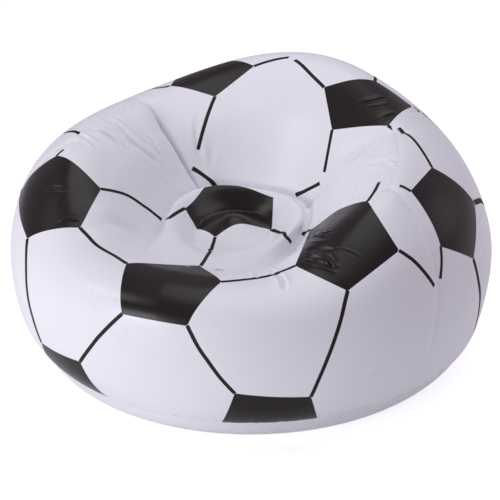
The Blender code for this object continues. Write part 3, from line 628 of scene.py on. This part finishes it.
def laid(name, grid, azimuth, station, node, patches):
    """Lays a grid on the skin as one panel of film, with its print, its puckers and its folds."""
    mesh = bpy.data.meshes.new(name)
    grid.to_mesh(mesh)
    grid.free()
    points, normal, seam_distance, cut = skin(azimuth, station)
    print_on(mesh, points, cut, seam_distance, patches)
    weld = np.where(station < CREST - 0.15, np.minimum(cut, 0.1), 0.1)
    weld = np.minimum(weld, np.abs(from_valve(points) - VALVE_WELD))
    mesh.attributes.new("weld", "FLOAT", "POINT").data.foreach_set("value", weld)
    puckered = skin(azimuth, station, gathered=True)[0]
    mesh.vertices.foreach_set("co", pressed(folded(puckered, normal, LONG_FOLDS)).ravel())
    mesh.update()
    mesh.shade_smooth()
    mesh.materials.append(vinyl)
    panel = bpy.data.objects.new(name, mesh)
    bpy.context.scene.collection.objects.link(panel)
    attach(panel, "chair")
    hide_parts(node)


def film_grid(columns, rows, lay):
    """A grid for one panel, split finer at folds and the valve. lay turns places on it into the skin's."""
    grid = bmesh.new()
    bmesh.ops.create_grid(grid, x_segments=columns, y_segments=rows, size=0.5)
    for halving, reach in enumerate(FOLD_REACHES):
        place = np.array([v.co[:2] for v in grid.verts]) + 0.5
        points = skin(*lay(place[:, 0], place[:, 1]))[0]
        close = set(np.flatnonzero(from_valve(points) < VALVE_FINE).tolist())
        for path, width, _ in LONG_FOLDS:
            if width < FOLD_PITCHES * PITCH / 2 ** halving:
                close.update(beside(points, path, reach * width)[0].tolist())
        grid.verts.ensure_lookup_table()
        grid.edges.index_update()
        edges = {e for k in close for f in grid.verts[k].link_faces for e in f.edges}
        if edges:
            in_order = sorted(edges, key=lambda e: e.index)
            bmesh.ops.subdivide_edges(grid, edges=in_order, cuts=1, use_grid_fill=True)
    grid.verts.index_update()
    place = np.array([v.co[:2] for v in grid.verts]) + 0.5
    return grid, *lay(place[:, 0], place[:, 1])


def without(grid, azimuth, station, gone):
    """Takes faces out of a panel's grid, with the corners that no other face uses."""
    keep = np.array([not gone.issuperset(w.link_faces) for w in grid.verts])
    bmesh.ops.delete(grid, geom=list(gone), context="FACES")
    return grid, azimuth[keep], station[keep]


# The film: 0.4 mm vinyl, white with the faintest blue, half gloss. The print is black ink: its
# pentagons keep the film's gloss, and its thin lines are duller.
LINE_INKED, LINE_CLEAR, PATCH_BLUR = 0.0040, 0.0046, 0.0004
vinyl = bpy.data.materials.new("white_vinyl_film")
n = Nodes(vinyl)
place = n.add("ShaderNodeTexCoord").outputs["Object"]
patch = n.add("ShaderNodeAttribute", attribute_name="patch").outputs["Fac"]
line = n.add("ShaderNodeAttribute", attribute_name="line").outputs["Vector"]
seam = n.add("ShaderNodeAttribute", attribute_name="seam").outputs["Fac"]
cut = n.add("ShaderNodeSeparateXYZ", {0: line})
in_patch = n.add("ShaderNodeMapRange", {"Value": patch, "From Min": -PATCH_BLUR,
                                        "From Max": PATCH_BLUR}).outputs[0]
in_line = n.add("ShaderNodeMapRange", {"Value": n.math("ABSOLUTE", cut.outputs[0]),
                                       "From Min": LINE_CLEAR, "From Max": LINE_INKED}).outputs[0]
in_ends = n.math("GREATER_THAN", cut.outputs[1], 0.0)
near_line = n.math("GREATER_THAN", cut.outputs[2], 0.5)
ink = n.math("MAXIMUM", in_patch, n.math("MULTIPLY", in_line, n.math("MULTIPLY", in_ends, near_line)))
cloudy = n.add("ShaderNodeTexNoise", {"Vector": place, "Scale": 5.0, "Detail": 3.0}).outputs[0]
white = n.mix(cloudy, (0.79, 0.81, 0.87, 1), (0.82, 0.84, 0.89, 1))
black = n.mix(cloudy, (0.009, 0.0065, 0.0065, 1), (0.015, 0.012, 0.011, 1))
fine = n.add("ShaderNodeTexNoise", {"Vector": place, "Scale": 340.0, "Detail": 2.0}).outputs[0]
crinkle = n.add("ShaderNodeTexNoise", {"Vector": place, "Scale": 70.0, "Detail": 4.0,
                                       "Distortion": 0.6}).outputs[0]
by_seam = n.add("ShaderNodeMapRange", {"Value": seam, "From Min": 0.0, "From Max": 0.05, "To Min": 1.0,
                                       "To Max": 0.12}).outputs[0]
# A dashed bead runs along the welds below the crest and round the valve. Its rise is a bump. Its lighter
# colour is a painted highlight, standing in for the glints along the bead.
weld = n.add("ShaderNodeAttribute", attribute_name="weld").outputs["Fac"]
beaded = n.add("ShaderNodeTexNoise", {"Vector": place, "Scale": 90.0, "Detail": 2.0}).outputs[0]
bead_and_glint_width = n.math("MULTIPLY_ADD", beaded, 0.0030, -0.0002)
bead_and_glint = n.math("MULTIPLY", n.math("LESS_THAN", weld, bead_and_glint_width), n.math("SUBTRACT", 1.0, ink))
white = n.mix(bead_and_glint, white, (0.90, 0.92, 0.96, 1))
height = n.math("ADD", n.math("MULTIPLY", fine, 0.03), n.math("MULTIPLY", crinkle, by_seam))
height = n.math("MULTIPLY_ADD", bead_and_glint, 0.8, height)
bump = n.add("ShaderNodeBump", {"Height": height, "Strength": 0.35, "Distance": 0.0012})
gloss = n.add("ShaderNodeTexNoise", {"Vector": place, "Scale": 14.0, "Detail": 3.0}).outputs[0]
rough = n.add("ShaderNodeMapRange", {"Value": gloss, "To Min": 0.24, "To Max": 0.34}).outputs[0]
only_line = n.math("SUBTRACT", ink, in_patch, clamp=True)
rough = n.math("MULTIPLY_ADD", only_line, 0.35, rough)
shader = n.add("ShaderNodeBsdfPrincipled", {"Base Color": n.mix(ink, white, black), "Roughness": rough,
                                            "Normal": bump.outputs[0], "IOR": 1.5,
                                            "Specular IOR Level": 0.26})
n.add("ShaderNodeOutputMaterial", {"Surface": shader.outputs[0]})

# The front panel: the front roll, the fronts of both arms and the arms' inner walls, in one
# piece of film. Above the arms' crest it runs back to the creases beside the backrest.


def counts(*lengths):
    return [max(2, round(length / PITCH)) for length in lengths]


def stepped(share, numbers, values):
    """Maps a grid's 0 to 1 onto values, with a whole number of faces between each two."""
    return np.interp(share, np.concatenate([[0], np.cumsum(numbers)]) / sum(numbers), values)


arm, front = counts(0.26, 1.40)
outer, inner = counts(0.46, 0.50)


def front_place(u, v):
    column = stepped(u, (arm, front, arm), (-CREASE_TOP, -ARM_SEAM, ARM_SEAM, CREASE_TOP))
    station = stepped(v, (outer, inner), (SEAM, CREST, RIM_SEAM))
    return spread(column, station), station


grid, azimuth, station = film_grid(2 * arm + front, outer + inner, front_place)
# Below the crest the panel ends at the weld that comes down each arm.
gone = {f for f in grid.faces if f.calc_center_median().y + 0.5 < outer / (outer + inner)
        and abs(f.calc_center_median().x) > front / (2 * arm + front) / 2}
laid("front_vinyl", *without(grid, azimuth, station, gone), "front_panel",
     ("front", "right_arm", "left_arm", "low_right", "low_left", "right_back", "left_back"))

# The rear panel: both flanks and the outer back in one piece, from the weld down one arm round
# to the other. The valve is welded into it low on the back.
around_back, = counts(2.10)
tall, = counts(0.80)


def rear_place(u, v):
    column = stepped(u, (1,), (ARM_SEAM, 2 * math.pi - ARM_SEAM))
    column = np.where(column > math.pi, column - 2 * math.pi, column)
    station = SEAM + (CREST - SEAM) * v
    return spread(column, station), station


grid, azimuth, station = film_grid(around_back, tall, rear_place)
in_hole = from_valve(skin(azimuth, station)[0]) < VALVE_HOLE
gone = {f for f in grid.faces if all(in_hole[w.index] for w in f.verts)}
laid("rear_vinyl", *without(grid, azimuth, station, gone), "rear_panel",
     ("right_flank", "left_flank", "right_back", "left_back", "rear", "rear_right", "rear_left"))

# The backrest: the inner face of the back, between the two deep creases.
wide, high = counts(0.85, 0.40)


def backrest_place(u, v):
    column = stepped(u, (1,), (CREASE_TOP, 2 * math.pi - CREASE_TOP))
    column = np.where(column > math.pi, column - 2 * math.pi, column)
    station = CREST + (RIM_SEAM - CREST) * v
    return spread(column, station), station


laid("backrest_vinyl", *film_grid(wide, high, backrest_place), "backrest_panel",
     ("right_back", "left_back"))


def in_disc(u, v):
    """Draws a square into a disc: azimuth and distance out."""
    a, b = 2 * u - 1, 2 * v - 1
    x, y = a * np.sqrt(1 - b * b / 2), b * np.sqrt(1 - a * a / 2)
    return np.arctan2(x, -y), np.minimum(np.hypot(x, y), 1.0)


# The seat: a round panel, held down on a weld circle by the sleeve inside, so that it stands up
# in a ring round the circle and in a dome in the middle of it.
def seat_place(u, v):
    azimuth, out = in_disc(u, v)
    return azimuth, np.interp(out, (0, 0.46, 0.80, 1), (DOME - 1e-4, WELD, RING, RIM_SEAM))


seat_count, base_count = counts(0.44, 0.70)
laid("seat_vinyl", *film_grid(seat_count, seat_count, seat_place), "seat_panel", ("seat", "front"))

# The base: a white round panel, flat on the floor, whose edge turns up to the lowest weld.


def base_place(u, v):
    azimuth, out = in_disc(u, v)
    return azimuth, np.interp(out, (0, 0.90, 1), (1e-4, CONTACT, SEAM))


grid, azimuth, station = film_grid(base_count, base_count, base_place)
bmesh.ops.reverse_faces(grid, faces=grid.faces)
laid("base_vinyl", grid, azimuth, station, "base_panel", ())

# The tie: a sleeve of plain film from the seat's weld circle down to the base, out of sight.
TIE_FOOT_RADIUS, TIE_STEPS, TIE_CUTS, TIE_GAP = 0.100, 48, 11, 0.001
tie = bmesh.new()
bmesh.ops.create_cone(tie, segments=TIE_STEPS, radius1=1, radius2=1, depth=1, cap_ends=False)
upright = [e for e in tie.edges if abs(e.verts[0].co.z - e.verts[1].co.z) > 0.5]
bmesh.ops.subdivide_edges(tie, edges=upright, cuts=TIE_CUTS)
share = np.array([w.co.z + 0.5 for w in tie.verts])
turn = np.array([math.atan2(w.co.x, -w.co.y) for w in tie.verts])
top, normal = skin(turn, np.full(len(turn), float(WELD)))[:2]
foot = np.stack([TIE_FOOT_RADIUS * np.sin(turn), -TIE_FOOT_RADIUS * np.cos(turn) - SEAT_SETBACK,
                 0 * turn + TIE_GAP], -1)
spot = foot + (top - normal * TIE_GAP - foot) * share[:, None]
for w, c in zip(tie.verts, spot):
    w.co = c
bmesh.ops.recalc_face_normals(tie, faces=tie.faces)
tie_data = bpy.data.meshes.new("tie_sleeve")
tie.to_mesh(tie_data)
tie.free()
tie_data.shade_smooth()
tie_vinyl = bpy.data.materials.new("tie_vinyl_film")
n = Nodes(tie_vinyl)
place = n.add("ShaderNodeTexCoord").outputs["Object"]
cloudy = n.add("ShaderNodeTexNoise", {"Vector": place, "Scale": 30.0, "Detail": 3.0}).outputs[0]
bump = n.add("ShaderNodeBump", {"Height": cloudy, "Strength": 0.3, "Distance": 0.001})
tie_white = n.mix(cloudy, (0.76, 0.76, 0.80, 1), (0.82, 0.82, 0.84, 1))
shader = n.add("ShaderNodeBsdfPrincipled", {"Base Color": tie_white, "Roughness": 0.4,
                                            "Normal": bump.outputs[0]})
n.add("ShaderNodeOutputMaterial", {"Surface": shader.outputs[0]})
tie_data.materials.append(tie_vinyl)
tie_sleeve = bpy.data.objects.new("tie_sleeve", tie_data)
bpy.context.scene.collection.objects.link(tie_sleeve)
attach(tie_sleeve, "chair")
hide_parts("seat_tie")

# The valve: clear soft vinyl mouldings, a little milky. They keep their CAD shapes.
valve_vinyl = bpy.data.materials.new("valve_soft_vinyl")
n = Nodes(valve_vinyl)
place = n.add("ShaderNodeTexCoord").outputs["Object"]
cloudy = n.add("ShaderNodeTexNoise", {"Vector": place, "Scale": 120.0, "Detail": 3.0}).outputs[0]
bump = n.add("ShaderNodeBump", {"Height": cloudy, "Strength": 0.2, "Distance": 0.0004})
milky = n.mix(cloudy, (0.66, 0.67, 0.70, 1), (0.76, 0.76, 0.78, 1))
shader = n.add("ShaderNodeBsdfPrincipled", {"Base Color": milky, "Roughness": 0.28,
                                            "Normal": bump.outputs[0],
                                            "Transmission Weight": 0.25, "IOR": 1.5})
n.add("ShaderNodeOutputMaterial", {"Surface": shader.outputs[0]})
for name in ("valve_flange", "valve_stem", "valve_flap", "valve_plug", "valve_strap"):
    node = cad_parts[name]
    for k in range(len(node.data.materials)):
        node.material_slots[k].material = valve_vinyl
    if not node.data.materials:
        node.data.materials.append(valve_vinyl)
